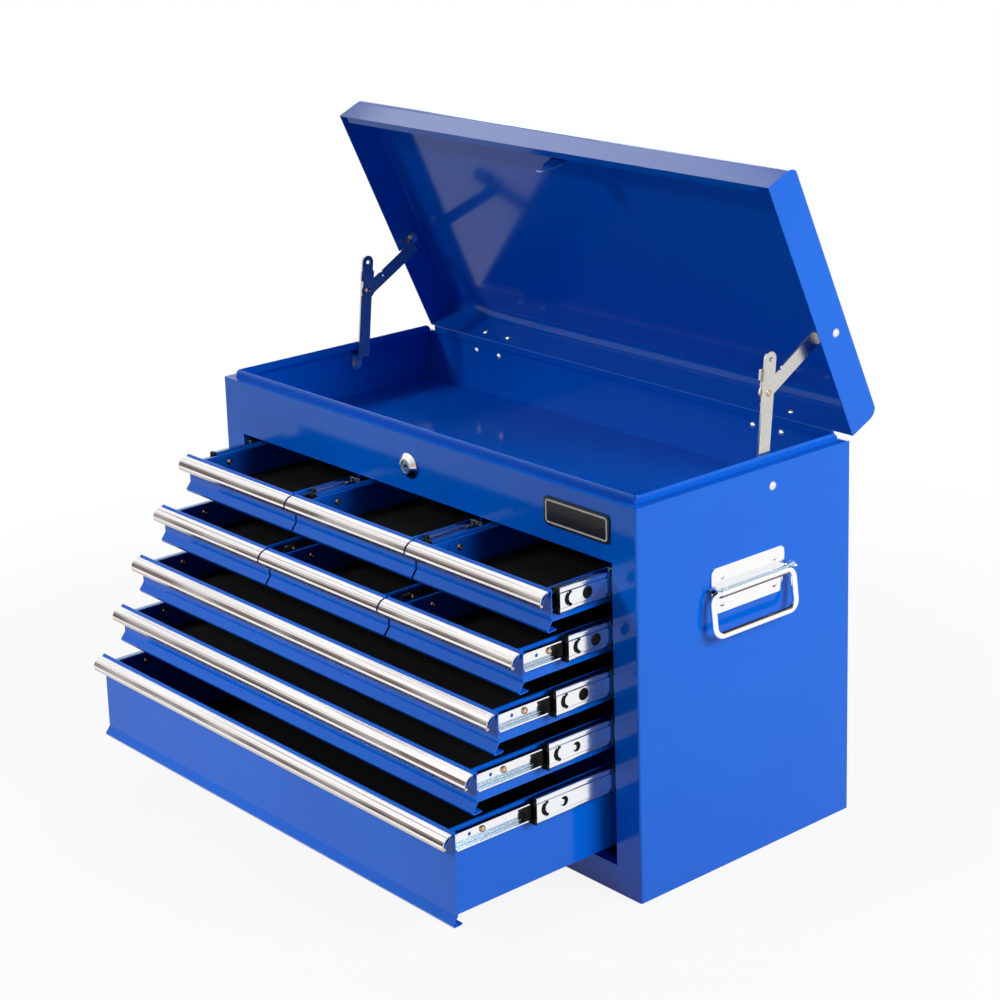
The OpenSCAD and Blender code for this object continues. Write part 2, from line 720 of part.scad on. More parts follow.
// Foot that turns on its bolt, with the step from the wall to the plane of the bar
module stay_foot_end(bar_from) {
    along_x(foot_x, foot_x + stay_t) {
        circle(stay_end_r);
        translate([-stay_end_r, 0]) square([stay_w, jog_from + stay_t]);
    }
    block([bar_from, foot_x + stay_t], [-stay_end_r, stay_end_r], [jog_from, jog_from + stay_t]);
}
// Lower bar: it runs on past the elbow as a handle
module stay_lower() color(zinc) bar_at(stay_foot, lean(stay_foot, stay_elbow)) difference() {
    end = stay_lower_l + stay_handle_l - stay_end_r;
    union() {
        stay_foot_end(bar_x);
        along_x(bar_x, bar_x + stay_t) difference() {
            union() {
                translate([-stay_end_r, jog_from]) square([stay_w, end - jog_from]);
                translate([0, end]) circle(stay_end_r);
            }
            translate([0, end]) circle(2);
        }
        translate([bar_x + stay_t, 0, stay_lower_l]) rotate([0, 90, 0]) dome(elbow_r, elbow_out_h);
    }
    disc_x(foot_x - over, half_w, stay_bore_r);
}
// Upper bar: its catch stands along the lower bar's handle
module stay_upper() color(zinc) bar_at(stay_top, lean(stay_top, stay_elbow)) difference() {
    plane = bar_x - fit_gap - stay_t;
    notch_z = stay_upper_l - 25;
    union() {
        stay_foot_end(plane);
        along_x(plane, plane + stay_t) {
            difference() {
                translate([-stay_end_r, jog_from]) square([stay_w, stay_upper_l - jog_from]);
                translate([stay_end_r + 1.5, notch_z]) circle(3);
            }
            translate([0, stay_upper_l]) {
                circle(stay_end_r + 1.5);
                rotate(lean(stay_top, stay_elbow) - lean(stay_foot, stay_elbow)) {
                    translate([-stay_end_r, 0]) round_rect(stay_w, catch_l, 3);
                    translate([-stay_end_r - lug_d, catch_l - lug_l]) round_rect(stay_end_r, lug_l, 2);
                }
            }
        }
        translate([plane, 0, stay_upper_l]) rotate([0, -90, 0]) dome(elbow_r, elbow_in_h);
        translate([plane, 0, notch_z]) rotate([0, -90, 0]) dome(2.2, 1);
    }
    disc_x(foot_x - over, half_w, stay_bore_r);
}

// ---- Handles, lock and nameplate ----

module plate_rivets() for (y = [-1, 1]) for (z = [-1, 1])
    translate([0, y * plate_rivet[0], handle_z + z * plate_rivet[1]]) children();
// Shell of the trough's flared ends, or with hollow their inside
module trough_ears(hollow) {
    r = hollow ? trough_r : trough_r + trough_t;
    for (end = [0, 1]) mirror([0, end, 0]) translate([half_w + bail_off, trough_w / 2, handle_z])
        rotate([-90, 0, 0]) translate([0, 0, hollow ? -pin_fit : 0])
            cylinder(h = ear_l + (hollow ? 2 * pin_fit : 0), r1 = r, r2 = r + ear_flare);
}
// Plate with a trough that holds the bail's two ends
module handle_plate() {
    skin_r = trough_r + trough_t;
    difference() {
        union() {
            along_x(half_w, half_w + plate_t) translate([-plate_w / 2, handle_z - plate_h / 2])
                round_rect(plate_w, plate_h, 6);
            along_y(-trough_w / 2, trough_w / 2) {
                translate([half_w + bail_off, handle_z]) circle(skin_r);
                translate([half_w, handle_z - skin_r]) square([bail_off, 2 * skin_r]);
            }
            // The ears' upper sides, clear of the bail's bends
            difference() {
                intersection() {
                    trough_ears(false);
                    block([half_w, half_w + 2 * bail_off], [-plate_w, plate_w],
                          [handle_z + bail_r + fit_gap, handle_z + plate_h]);
                }
                trough_ears(true);
            }
        }
        along_y(-trough_w / 2 - over / 4, trough_w / 2 + over / 4) {
            translate([half_w + bail_off, handle_z]) circle(trough_r);
            translate([half_w - over, handle_z - trough_r]) square([bail_off + over, 2 * trough_r]);
        }
        plate_rivets() disc_x(half_w - over, half_w + plate_t + over, rivet_r + pin_fit);
    }
    plate_rivets() {
        disc_x(inner_x, half_w + plate_t, rivet_r);
        translate([half_w + plate_t, 0, 0]) rotate([0, 90, 0]) dome(1.6 * rivet_r, 1.1);
        translate([inner_x, 0, 0]) rotate([0, -90, 0]) dome(1.6 * rivet_r, 1.2);
    }
}
module handle_plates() color(bright) both_sides() handle_plate();
// Bail of round wire: both ends turn in the trough
module bail() color(bright) {
    r = bail_bend_r;
    half = bail_w / 2;
    translate([half_w + bail_off, 0, handle_z]) rotate([0, -bail_lean, 0])
        for (side = [0, 1]) mirror([0, side, 0]) {
            disc_y(trough_w / 2 - bail_stub, half - r, bail_r);
            translate([0, half - r, -r]) quarter_bend(r);
            translate([0, half, r - bail_drop]) cylinder(h = bail_drop - 2 * r, r = bail_r);
            translate([0, half - r, r - bail_drop]) mirror([0, 0, 1]) quarter_bend(r);
            translate([0, 0, -bail_drop]) disc_y(0, half - r, bail_r);
        }
}
module quarter_bend(r)
    rotate([90, 0, 90]) rotate_extrude(angle = 90) translate([r, 0]) circle(bail_r);
module lock_housing() color(bright) translate([0, 0, lock_z]) difference() {
    lip = 1.2;
    union() {
        translate([0, -half_d, 0]) rotate([90, 0, 0]) {
            cylinder(h = bezel_rim, r = bezel_r);
            translate([0, 0, bezel_rim])
                cylinder(h = bezel_h - bezel_rim, r1 = bezel_r, r2 = plug_r + lip);
        }
        disc_y(-half_d, barrel_end - half_d, barrel_r);
        translate([0, -inner_y, 0]) rotate([-90, 0, 0])
            cylinder(h = lock_nut_t, r = lock_nut_r, $fn = 6);
    }
    disc_y(-half_d - bezel_h - over, barrel_end - half_d + over, plug_r + pin_fit);
}
// Plug with its keyway, the cam behind it and the cam's peg
module lock_plug() color(bright) translate([0, -half_d, lock_z]) {
    face = 1 - bezel_h;
    difference() {
        disc_y(face, plug_end, plug_r);
        block([-plug_r / 2, plug_r / 2], [face - over, face + keyway_d], [-0.7, 0.7]);
        block([-1.2, 1.2], [face - over, face + keyway_d], [0, 1.9]);
    }
    rotate([0, -peg_open, 0]) {
        along_y(cam_at, cam_at + cam_t) {
            translate([0, -cam_w / 2]) square([peg_turn_r, cam_w]);
            translate([peg_turn_r, 0]) circle(cam_w / 2);
        }
        translate([peg_turn_r, 0, 0]) disc_y(half_d + latch_y, cam_at, peg_r);
    }
}
module nameplate() color("black") translate([opening_x - badge_gap - badge_w, 0, lock_z + 2 - badge_h / 2])
    along_y(-half_d - badge_t, -half_d) round_rect(badge_w, badge_h, 4);

mirror([1, 0, 0]) side_panel();  // side_panel_left
side_panel();  // side_panel_right
back_panel();
base_panel();
top_rail();
tray_floor();
slide_uprights();
cabinet_rails();
lock_housing();
nameplate();
handle_plates();
cabinet_hinge_leaves();
cabinet_fasteners();
lid_shell();
lid_hinge_leaves();
lid_fasteners();
lid_latch();
mirror([1, 0, 0]) stay_lower();  // stay_lower_left
stay_lower();  // stay_lower_right
mirror([1, 0, 0]) stay_upper();  // stay_upper_left
stay_upper();  // stay_upper_right
mirror([1, 0, 0]) bail();  // bail_left
bail();  // bail_right
lock_plug();
for (i = [0 : 8]) {
    name = str("drawer_", i + 1);
    drawer(i);
    pull(i);
    runners(i);
    mid_rails(i);
}
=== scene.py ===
# %% [markdown]
# # A sheet steel tool chest
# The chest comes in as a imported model: panels, drawers, slides, lid and hardware, all with
# their true shapes and places. This lesson dresses it. It gives every surface a finish made
# of nodes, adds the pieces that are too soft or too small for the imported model, and sets up
# the camera and a plain studio. Lengths are in metres, Z is up and the drawers open
# towards -Y.

import json
import math

import bmesh
import bpy
from mathutils import Matrix, Vector


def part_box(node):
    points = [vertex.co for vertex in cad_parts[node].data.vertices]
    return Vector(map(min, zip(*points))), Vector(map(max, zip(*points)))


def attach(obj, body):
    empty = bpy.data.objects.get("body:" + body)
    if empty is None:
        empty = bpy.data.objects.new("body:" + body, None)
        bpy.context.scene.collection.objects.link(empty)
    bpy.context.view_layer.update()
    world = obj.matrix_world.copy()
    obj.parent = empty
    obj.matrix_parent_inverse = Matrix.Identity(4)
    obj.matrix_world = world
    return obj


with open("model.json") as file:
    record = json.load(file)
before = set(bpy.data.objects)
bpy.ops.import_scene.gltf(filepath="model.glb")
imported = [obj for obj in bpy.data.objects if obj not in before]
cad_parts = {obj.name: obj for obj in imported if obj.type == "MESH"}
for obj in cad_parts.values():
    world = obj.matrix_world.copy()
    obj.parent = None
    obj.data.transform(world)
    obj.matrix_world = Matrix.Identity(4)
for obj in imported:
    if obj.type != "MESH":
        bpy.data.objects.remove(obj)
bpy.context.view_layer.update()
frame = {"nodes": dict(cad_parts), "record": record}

# %% [markdown]
# ## Node maths that reads like maths
# A finish is a small program that Blender runs at every point of a surface. Wiring it by
# hand hides what it computes, so a socket is wrapped in a class that understands + and *.
# Everything else, such as a noise or a ramp, comes from the one method `node`.

# %% A socket that adds Math nodes by itself
OPERATORS = {"add": "ADD", "sub": "SUBTRACT", "mul": "MULTIPLY", "truediv": "DIVIDE"}


class Value:
    """A number or colour that changes over the surface: the output socket of a node."""

    def __init__(self, nodes, socket):
        self.nodes = nodes
        self.socket = socket

    def above(self, edge, softness):
        """0 below the edge and 1 above it, with a soft step."""
        return self.nodes.maths("ADD", (self - edge) / softness, 0.5, clamp=True)


def forward(operation):
    return lambda self, other: self.nodes.maths(operation, self, other)


def reflected(operation):
    return lambda self, other: self.nodes.maths(operation, other, self)


for word, operation in OPERATORS.items():
    setattr(Value, f"__{word}__", forward(operation))
    setattr(Value, f"__r{word}__", reflected(operation))
print("a value understands", ", ".join(OPERATORS))

# %% A node tree
SEEN_RAYS = ("Is Camera Ray", "Is Glossy Ray", "Is Transmission Ray")


def place_stops(ramp, stops):
    """Gives a ramp its stops: each is a place from 0 to 1 and a colour."""
    while len(ramp.elements) < len(stops):
        ramp.elements.new(0.5)
    for element, (place, color) in zip(ramp.elements, stops):
        element.position = place
        element.color = color


class Nodes:
    """A node tree and the one method that adds to it."""

    def __init__(self, tree):
        self.tree = tree

    def plug(self, socket, source):
        """Links a value to a socket, or writes a constant on it."""
        if isinstance(source, Value):
            self.tree.links.new(source.socket, socket)
        else:
            socket.default_value = source

    def node(self, kind, settings, sockets, output=0):
        """Any node: its settings are set first, then its sockets, by name or by number."""
        made = self.tree.nodes.new(kind)
        for setting, choice in settings.items():
            if setting == "stops":
                place_stops(made.color_ramp, choice)
            else:
                setattr(made, setting, choice)
        for socket, source in sockets.items():
            self.plug(made.inputs[socket], source)
        return Value(self, made.outputs[output])

    def maths(self, operation, *numbers, clamp=False):
        settings = {"operation": operation, "use_clamp": clamp}
        return self.node("ShaderNodeMath", settings, dict(enumerate(numbers)))

    def seen_directly(self):
        """1 for the rays of the camera, of gloss and of glass, and 0 for those that carry light."""
        camera_ray, *mirrored = (self.node("ShaderNodeLightPath", {}, {}, ray) for ray in SEEN_RAYS)
        for ray in mirrored:
            camera_ray = self.maths("MAXIMUM", camera_ray, ray)
        return camera_ray


print("rays that count as seen directly:", ", ".join(SEEN_RAYS))

# %% A finish: one material and its shader
class Finish(Nodes):
    """A material with one Principled shader. Constants go straight on the shader's sockets."""

    def __init__(self, name, **constants):
        self.material = bpy.data.materials.new(name)
        self.material.use_nodes = True
        super().__init__(self.material.node_tree)
        self.shader = self.tree.nodes["Principled BSDF"]
        self.wear(**constants)

    def wear(self, **sources):
        """Sends constants, and values that change over the surface, to the shader's sockets."""
        for socket, source in sources.items():
            self.plug(self.shader.inputs[socket.replace("_", " ")], source)

    def bumps(self, height, depth):
        """Surface relief, depth metres high."""
        sockets = {"Height": height, "Strength": 1.0, "Distance": depth}
        self.wear(Normal=self.node("ShaderNodeBump", {}, sockets))

    def place(self, stretch=(1, 1, 1)):
        """Where a point is on the object, stretched for a pattern."""
        here = self.node("ShaderNodeTexCoord", {}, {}, "Object")
        return self.node("ShaderNodeMapping", {}, {"Vector": here, "Scale": stretch})

    def noise(self, scale, detail, stretch=(1, 1, 1)):
        sockets = {"Vector": self.place(stretch), "Scale": scale, "Detail": detail}
        return self.node("ShaderNodeTexNoise", {}, sockets)

    def facing_up(self):
        """How far the surface faces up: 1 at the top of a piece, 0 on its sides, -1 below it."""
        normal = self.node("ShaderNodeTexCoord", {}, {}, "Normal")
        return self.node("ShaderNodeSeparateXYZ", {}, {"Vector": normal}, "Z")

    def ramp(self, tone, stops):
        """The colour at a tone from 0 to 1, between the stops of a ramp."""
        return self.node("ShaderNodeValToRGB", {"stops": stops}, {"Fac": tone})

    def blend(self, amount, low, high):
        """A colour between two colours. Several sockets of a Mix node share a name, so the two
        that take colours are given by their numbers, 6 and 7, and the one that gives it by 2."""
        sockets = {"Factor": amount, 6: low, 7: high}
        return self.node("ShaderNodeMix", {"data_type": "RGBA"}, sockets, 2)


def srgb(red, green, blue):
    """A colour as it is read off a screen, 0 to 255, made linear for the shader."""
    return tuple((part / 255) ** 2.2 for part in (red, green, blue)) + (1.0,)


def grey(tone):
    return srgb(tone, tone, tone)


print("finish helpers ready")

# %% [markdown]
# ## Enamel
# The sheet steel is covered with baked blue enamel. It is smooth and glossy, but under a lamp
# it shows the faint dimples of sprayed paint. A fine noise gives those as bumps, and a wide
# noise lets the depth of colour and the gloss drift a little, as a real coat does. The blue
# is deep, so little of the red light comes back and every bright haze on it is a reflection.

# %% Blue enamel
ENAMEL_BLUE = srgb(0, 100, 211)
ENAMEL_DEEP = srgb(0, 92, 202)
DIMPLE_DEPTH = 0.00002


def blue_enamel():
    finish = Finish("blue_enamel", Specular_IOR_Level=0.22, Coat_Roughness=0.03)
    drift = finish.noise(9.0, 1.0)
    dimples = finish.noise(420.0, 1.0)
    finish.wear(Base_Color=finish.blend(drift, ENAMEL_BLUE, ENAMEL_DEEP),
                Roughness=0.08 + 0.05 * drift + 0.03 * dimples,
                Coat_Weight=0.03 + 0.05 * drift)
    finish.bumps(dimples, DIMPLE_DEPTH)
    return finish.material


enamel = blue_enamel()
print("made", enamel.name)

# %% [markdown]
# ## Drawn aluminium
# The drawer pulls are rolled from aluminium strip. Rolling leaves fine lines along the strip,
# so their colour and gloss change quickly across the pull and hardly at all along it. A noise
# that is squeezed along X does that, and a coarser noise adds rubbed patches. The way the
# surface faces, up or forwards, picks the tone from a ramp of painted reflections: light
# bands and a dark brown band across the front of the bulge.
# Along its upper edge the strip has a brushed, satin look instead of a mirror's.

# %% Pulls
# Painted reflections on the pull, set by the way it faces: light bands and a dark brown one.
PULL_PAINTED_REFLECTION_STOPS = [(0.0, srgb(196, 190, 186)), (0.09, srgb(250, 249, 248)), (0.19, srgb(234, 230, 228)),
              (0.27, srgb(128, 114, 108)), (0.35, srgb(84, 71, 65)), (0.44, srgb(92, 80, 74)),
              (0.53, srgb(140, 130, 126)), (0.63, srgb(204, 199, 197)), (0.74, srgb(240, 238, 237)),
              (0.86, srgb(250, 249, 249)), (0.905, srgb(176, 168, 164)), (0.945, grey(250)),
              (1.0, grey(254))]
PULL_RUBBED = srgb(226, 222, 220)
LINE_DEPTH = 0.00001


def drawn_aluminium():
    finish = Finish("drawn_aluminium")
    bands = finish.noise(1.0, 2.0, (3.0, 260, 260))
    lines = finish.noise(1.0, 1.0, (5.0, 800, 800))
    rubbed = finish.noise(1.0, 1.0, (9.0, 40, 40)).above(0.58, 0.2)
    # Facing up picks the painted reflection; the bands and lines add the rolling streaks.
    tone = finish.facing_up() + 0.22 * (bands - 0.5) + 0.12 * (lines - 0.5)
    satin_edge = finish.facing_up().above(0.94, 0.08)
    finish.wear(Base_Color=finish.blend(0.4 * rubbed, finish.ramp(tone, PULL_PAINTED_REFLECTION_STOPS), PULL_RUBBED),
                Roughness=0.14 + 0.16 * lines + 0.3 * satin_edge,
                Metallic=1 - 0.85 * satin_edge)
    finish.bumps(lines, LINE_DEPTH)
    return finish.material


pull_metal = drawn_aluminium()
print("made", pull_metal.name)

# %% [markdown]
# ## Zinc
# The slides are bright zinc with faint rolling lines along them, the stays and hinges are
# duller zinc with a fine grain. One function makes them, with the lines' direction and the
# shine as choices. Where the sheet turns over at a fold, so that it faces up or down, its
# colour is painted reflection and painted shade: pale blue in the slides' grooves, where
# they mirror the enamel, and a duller tone on the other parts. The cabinet's rails are
# painted dark all over: painted shade.

# %% Zinc plated steel
CRYSTAL_SCALE = 700.0
ZINC_RELIEF = 0.000003
ALONG_Y = (1200, 5, 1200)
ALONG_X = (40, 900, 900)
ALONG_Z = (900, 900, 300)
EVENLY = (500, 500, 500)


def zinc(name, light, dark, painted_fold_colour, shine, stretch, crystals):
    """Colours of the light and dark grain and of the folds' painted reflection and shade, then shine,
    lines and crystals.
    """
    finish = Finish(name, Metallic=1.0)
    lines = finish.noise(1.0, 3.0, stretch)
    sockets = {"Vector": finish.place(), "Scale": CRYSTAL_SCALE}
    grains = finish.node("ShaderNodeTexVoronoi", {}, sockets)
    tone = (1 - crystals) * lines + crystals * grains
    # Faces that look up or down take the fold colour: painted reflection and shade.
    painted_fold_mask = finish.maths("ABSOLUTE", finish.facing_up()).above(0.5, 0.5)
    finish.wear(Base_Color=finish.blend(painted_fold_mask, finish.blend(tone, light, dark), painted_fold_colour),
                Roughness=shine + 0.1 * lines + 0.04 * grains)
    finish.bumps(tone, ZINC_RELIEF)
    return finish.material


# The third colour of each zinc is the painted reflection and shade on its folds.
slide_zinc = zinc("bright_zinc", grey(255), srgb(232, 236, 240), srgb(138, 164, 186),
                  0.07, ALONG_Y, 0.1)
# The rails' dark zinc is painted shade, for rails that sit deep inside the frame.
shaded_rail_zinc = zinc("rail_zinc_painted_shade", srgb(120, 124, 130), srgb(74, 78, 84), srgb(60, 64, 70),
                 0.3, ALONG_Y, 0.1)
stay_zinc = zinc("satin_zinc", srgb(226, 224, 219), srgb(180, 177, 171), srgb(200, 200, 198),
                 0.17, ALONG_Z, 0.4)
fastener_zinc = zinc("fastener_zinc", grey(255), srgb(226, 226, 228), srgb(190, 188, 186),
                     0.12, EVENLY, 0.3)
yellow_zinc = zinc("yellow_zinc", srgb(226, 190, 154), srgb(150, 112, 84), srgb(150, 116, 92),
                   0.16, EVENLY, 0.3)
# The lock plug's blue grey is a painted reflection of the blue enamel.
lock_steel = zinc("lock_steel", srgb(146, 170, 186), srgb(84, 104, 122), srgb(60, 66, 72),
                  0.14, ALONG_X, 0.1)
zincs = (slide_zinc, shaded_rail_zinc, stay_zinc, fastener_zinc, yellow_zinc, lock_steel)
print("made", ", ".join(material.name for material in zincs))

# %% [markdown]
# ## Chrome
# The side handles and the lock are polished chrome. Each of the three gets its own ramp of
# painted reflections and painted shade over the way it faces, from the side that faces down
# at 0 to the side that faces up at 1: white, brown, dark and bluish bands that stand in for
# what the chrome mirrors and the shade on it.

# %% Chrome with painted reflections and shade
PLATE_PAINTED_REFLECTION_STOPS = [(0.0, srgb(84, 68, 60)), (0.33, srgb(112, 98, 90)), (0.44, srgb(250, 250, 251)),
               (0.74, grey(255)), (0.84, srgb(150, 186, 198)), (0.92, srgb(214, 228, 232)),
               (1.0, srgb(238, 243, 245))]
BAIL_PAINTED_REFLECTION_STOPS = [(0.0, srgb(150, 160, 168)), (0.2, srgb(232, 236, 238)), (0.32, grey(255)),
              (0.78, grey(255)), (0.88, srgb(132, 112, 98)), (1.0, srgb(84, 72, 64))]
LOCK_PAINTED_REFLECTION_STOPS = [(0.0, srgb(176, 146, 108)), (0.22, srgb(186, 156, 118)), (0.4, srgb(236, 232, 226)),
              (0.6, srgb(176, 168, 160)), (0.8, grey(250)), (1.0, srgb(214, 208, 202))]


def polished_chrome(name, stops):
    finish = Finish(name, Metallic=1.0)
    haze = finish.noise(60.0, 2.0)
    # The way the surface faces picks the painted reflections and shade from the ramp.
    tone = 0.5 + 0.5 * finish.facing_up() + 0.06 * (haze - 0.5)
    finish.wear(Base_Color=finish.ramp(tone, stops), Roughness=0.04 + 0.05 * haze)
    return finish.material


plate_chrome = polished_chrome("plate_chrome", PLATE_PAINTED_REFLECTION_STOPS)
bail_chrome = polished_chrome("bail_chrome", BAIL_PAINTED_REFLECTION_STOPS)
lock_chrome = polished_chrome("lock_chrome", LOCK_PAINTED_REFLECTION_STOPS)
print("made", plate_chrome.name, bail_chrome.name, lock_chrome.name)

# %% [markdown]
# ## Black parts and the printed line
# Three blacks lie close together here and must still read as different stuff: the
# nameplate is smooth and lacquered, the liners are soft ribbed foam, and the slides'
# retainers are matt moulded plastic. The foam's ribs are a sine wave across the drawer, and
# they are bumps only, because they are too shallow to see in outline. The line on the
# nameplate is silver ink, so it stays pale from every side, where bare metal would turn blue.

# %% A speckled finish
def speckled(name, scale, colors, roughness, relief=0.0, **constants):
    """Two close colours and two roughnesses, mixed by one fine noise that can also be relief."""
    finish = Finish(name, **constants)
    speckles = finish.noise(scale, 2.0)
    finish.wear(Base_Color=finish.blend(speckles, *colors),
                Roughness=roughness[0] + (roughness[1] - roughness[0]) * speckles)
    if relief:
        finish.bumps(speckles, relief)
    return finish.material


plate_black = speckled("black_lacquer", 300.0, (srgb(28, 26, 24), srgb(44, 41, 38)), (0.2, 0.3),
                       0.00002, Coat_Weight=0.08, Coat_Roughness=0.05, Specular_IOR_Level=0.2)
plastic = speckled("moulded_plastic", 1200.0, (srgb(4, 4, 5), srgb(14, 13, 13)), (0.5, 0.7),
                   0.00003, Specular_IOR_Level=0.15)
printed_silver = speckled("silver_print", 400.0, (srgb(172, 168, 160), srgb(214, 211, 205)),
                          (0.35, 0.55), Specular_IOR_Level=0.3)
print("made", plate_black.name, plastic.name, printed_silver.name)

# %% Liner foam
LINER_RIB = 0.003
RIB_DEPTH = 0.0003


def liner_foam():
    finish = Finish("liner_foam", Specular_IOR_Level=0.15)
    cells = finish.noise(900.0, 3.0)
    across = finish.node("ShaderNodeSeparateXYZ", {}, {"Vector": finish.place()}, "X")
    ribs = finish.maths("SINE", across * (2 * math.pi / LINER_RIB))
    finish.wear(Base_Color=finish.blend(cells, srgb(10, 10, 11), srgb(24, 25, 27)),
                Roughness=0.82 + 0.14 * cells)
    finish.bumps(0.6 * ribs + 0.4 * cells, RIB_DEPTH)
    return finish.material


foam = liner_foam()
print("made", foam.name, "with a rib every", 1000 * LINER_RIB, "mm")

# %% [markdown]
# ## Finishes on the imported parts
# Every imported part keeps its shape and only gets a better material. The record gives each
# node a slot, so one table from slot to finish dresses them all. A second table names the
# few parts that look different from the rest of their slot.

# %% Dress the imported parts
FINISHES = {"blue_enamel": enamel, "zinc_slides": slide_zinc, "zinc_hardware": stay_zinc,
            "bright_fasteners": fastener_zinc, "chrome_fittings": plate_chrome,
            "pull_aluminium": pull_metal, "black_plate": plate_black}
OWN_FINISHES = {"lock_plug": lock_steel, "lock_housing": lock_chrome, "bail_left": bail_chrome,
                "bail_right": bail_chrome, "cabinet_rails": shaded_rail_zinc}
slot_of = {part["node"]: part["material_slot"] for part in frame["record"]["subparts"]}

for node, part in frame["nodes"].items():
    for slot in part.material_slots:
        slot.material = OWN_FINISHES.get(node, FINISHES[slot_of[node]])
print("dressed", len(slot_of), "parts")

# %% [markdown]
# ## Making new pieces
# A new piece is a bmesh that is shaped by operators and then put into one mesh whose object
# stays at the origin. `block` is the start of many of them: a cube that is scaled and moved
# to two corners, with its edges rounded. `plate` extrudes an outline that is drawn in the
# plane of a drawer's side, and `turned` spins a profile round an axis along X.

# %% Shapes
TURNED_STEPS = 20
BEVEL_SEGMENTS = 2
MERGE_DISTANCE = 0.00001


def block(shape, one_corner, other_corner, bevel=0.0):
    """A box between two corners, with its edges rounded by bevel."""
    low = Vector(map(min, one_corner, other_corner))
    high = Vector(map(max, one_corner, other_corner))
    middle = Matrix.Translation((low + high) / 2) @ Matrix.Diagonal((*(high - low), 1))
    made = bmesh.ops.create_cube(shape, size=1.0, matrix=middle)
    if bevel:
        edges = {edge for corner in made["verts"] for edge in corner.link_edges}
        bmesh.ops.bevel(shape, geom=list(edges), offset=bevel, offset_type="OFFSET",
                        segments=BEVEL_SEGMENTS, profile=0.5, affect="EDGES", material=-1)


def thicken(shape, faces, depth):
    """Pulls faces out along X and keeps them behind, so that the shape is closed."""
    made = bmesh.ops.extrude_face_region(shape, geom=faces, use_keep_orig=True)
    corners = [part for part in made["geom"] if isinstance(part, bmesh.types.BMVert)]
    bmesh.ops.translate(shape, verts=corners, vec=(depth, 0, 0))


def plate(shape, outline, x_from, x_to):
    """An outline of Y and Z, extruded along X."""
    face = shape.faces.new([shape.verts.new((x_from, y, z)) for y, z in outline])
    thicken(shape, [face], x_to - x_from)


def turned(shape, profile, at, way):
    """A profile of radius and height, spun round an axis that starts at a point and runs along X."""
    x, y, z = at
    path = [shape.verts.new((x + way * height, y, z + radius)) for radius, height in profile]
    edges = [shape.edges.new(pair) for pair in zip(path, path[1:])]
    bmesh.ops.spin(shape, geom=path + edges, cent=at, axis=(1, 0, 0), angle=2 * math.pi,
                   steps=TURNED_STEPS, use_merge=True)
    bmesh.ops.remove_doubles(shape, verts=shape.verts[:], dist=MERGE_DISTANCE)


print("shapes: block, plate, turned")

# %% A piece and what it rides on
def piece(name, shape, body, finish, smooth=False):
    """Turns a bmesh into a piece that rides on a body."""
    bmesh.ops.recalc_face_normals(shape, faces=shape.faces[:])
    mesh = bpy.data.meshes.new(name)
    shape.to_mesh(mesh)
    shape.free()
    for face in mesh.polygons:
        face.use_smooth = smooth
    mesh.materials.append(finish)
    made = bpy.data.objects.new(name, mesh)
    bpy.context.scene.collection.objects.link(made)
    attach(made, body)


DRAWERS = range(1, 10)
print("helpers ready for", len(DRAWERS), "drawers")

# %% [markdown]
# ## Drawer liners
# A sheet of black foam lies loose on each drawer's floor. It is cut a little smaller than
# the floor, and its edge is soft. The drawer's box and its runners tell where the floor is,
# so each liner follows its own drawer. A cloth simulation isn't needed: the foam lies flat.

# %% Liners
LINER_T = 0.002
LINER_GAP = 0.0015
LINER_EDGE = 0.0006
SHEET = 0.0009
BOX_LIFT = 0.0024
RUNNER_REACH = 0.007
RUNNER_FROM_FRONT = 0.007

wall = SHEET + LINER_GAP
for number in DRAWERS:
    low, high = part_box(f"drawer_{number}")
    side_low, side_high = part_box(f"drawer_{number}_runners")
    floor_z = low[2] + BOX_LIFT + SHEET
    front = side_low[1] - RUNNER_FROM_FRONT + SHEET + wall
    shape = bmesh.new()
    block(shape, (side_low[0] + RUNNER_REACH + wall, front, floor_z),
          (side_high[0] - RUNNER_REACH - wall, high[1] - wall, floor_z + LINER_T), LINER_EDGE)
    piece(f"liner_{number}", shape, f"drawer_{number}", foam)
print("laid", len(DRAWERS), "liners")

# %% [markdown]
# ## Where the slides are
# Every drawer has a slide on either side, and the two mirror each other. `slides` gives both:
# the plane of the drawer box's side, and the way out from it, -1 to the left or 1 to the
# right. A distance times that way then suits both sides, so each detail is written once.

# %% Both sides of a drawer
WEB_OUT = 0.0110
WEB_IN = 0.0098


def slides(number):
    """Both sides of a drawer, with the front end and the middle height of its middle rails."""
    low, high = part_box(f"drawer_{number}_mid_rails")
    sides = [(low[0] + WEB_OUT, -1), (high[0] - WEB_OUT, 1)]
    return sides, low[1], (low[2] + high[2]) / 2


print("rail web", round(1000 * (WEB_OUT - WEB_IN), 2), "mm thick")

# %% [markdown]
# ## Black parts of the slides
# A moulded collar closes the front of each middle rail, where the ball cage ends, and its
# tongue runs back behind the web. The tongue shows through the rail's round hole, and the
# release lever on it comes out through the crescent slot. All of this moves with the rail.
# The collar is an extruded outline, because a mould leaves such straight sides, and the
# lever is a strip that is bent round a circle.

# %% Collars and tongues
COLLAR_L = 0.0028
COLLAR_FROM = 0.0075
COLLAR_HALF = [(0, 0.0117), (-0.0017, 0.0117), (-COLLAR_L, 0.0104), (-COLLAR_L, 0.0066),
               (-0.0008, 0.0046)]
COLLAR_OUTLINE = [(y, -z) for y, z in COLLAR_HALF] + COLLAR_HALF[::-1]
CHEEK_X = (0.0038, 0.0076)
CHEEK_Z = (0.0086, 0.0114)
CHEEK_EDGE = 0.0004
TONGUE_X = (0.0076, WEB_IN - 0.0004)
TONGUE_Y = (-0.001, 0.044)
TONGUE_HALF_H = 0.006
TONGUE_EDGE = 0.0006
PLAY = 0.0001


